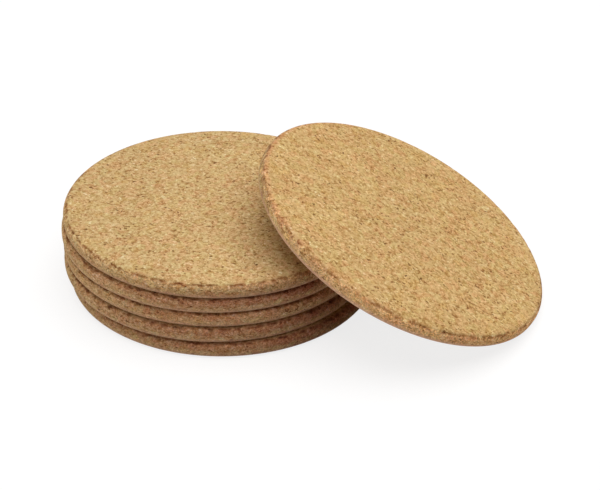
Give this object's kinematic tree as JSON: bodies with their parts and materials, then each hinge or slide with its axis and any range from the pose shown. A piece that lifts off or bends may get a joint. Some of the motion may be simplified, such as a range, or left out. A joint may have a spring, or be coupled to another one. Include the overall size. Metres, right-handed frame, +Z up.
{
  "type": "cork coaster set",
  "caption": "Round flat coasters of pressed cork granules with rounded edges, lying in a loose stack with one leaning on it, to stand cups and glasses on.",
  "frame": {"origin": "centre of the lowest coaster's underside, on the table", "axes": "+Z up out of the table; +X along the way the leaning coaster slopes down, away from the stack"},
  "size_m": [0.1562, 0.1013, 0.0453],
  "materials": {
    "cork": "bare sanded agglomerated cork, matt"
  },
  "bodies": {
    "coaster_1": {"coaster_1": "cork"},
    "coaster_2": {"coaster_2": "cork"},
    "coaster_3": {"coaster_3": "cork"},
    "coaster_4": {"coaster_4": "cork"},
    "coaster_5": {"coaster_5": "cork"},
    "leaning_coaster": {"leaning_coaster": "cork"}
  },
  "joints": [
    {"name": "lift_2", "type": "slide", "parent": "coaster_1", "child": "coaster_2", "axis": [0, 0, 1], "range_m": [0, 0.04]},
    {"name": "lift_3", "type": "slide", "parent": "coaster_2", "child": "coaster_3", "axis": [0, 0, 1], "range_m": [0, 0.04]},
    {"name": "lift_4", "type": "slide", "parent": "coaster_3", "child": "coaster_4", "axis": [0, 0, 1], "range_m": [0, 0.04]},
    {"name": "lift_5", "type": "slide", "parent": "coaster_4", "child": "coaster_5", "axis": [0, 0, 1], "range_m": [0, 0.04]},
    {"name": "lift_leaning", "type": "slide", "parent": "coaster_5", "child": "leaning_coaster", "axis": [0, 0, 1], "range_m": [0, 0.04]}
  ]
}
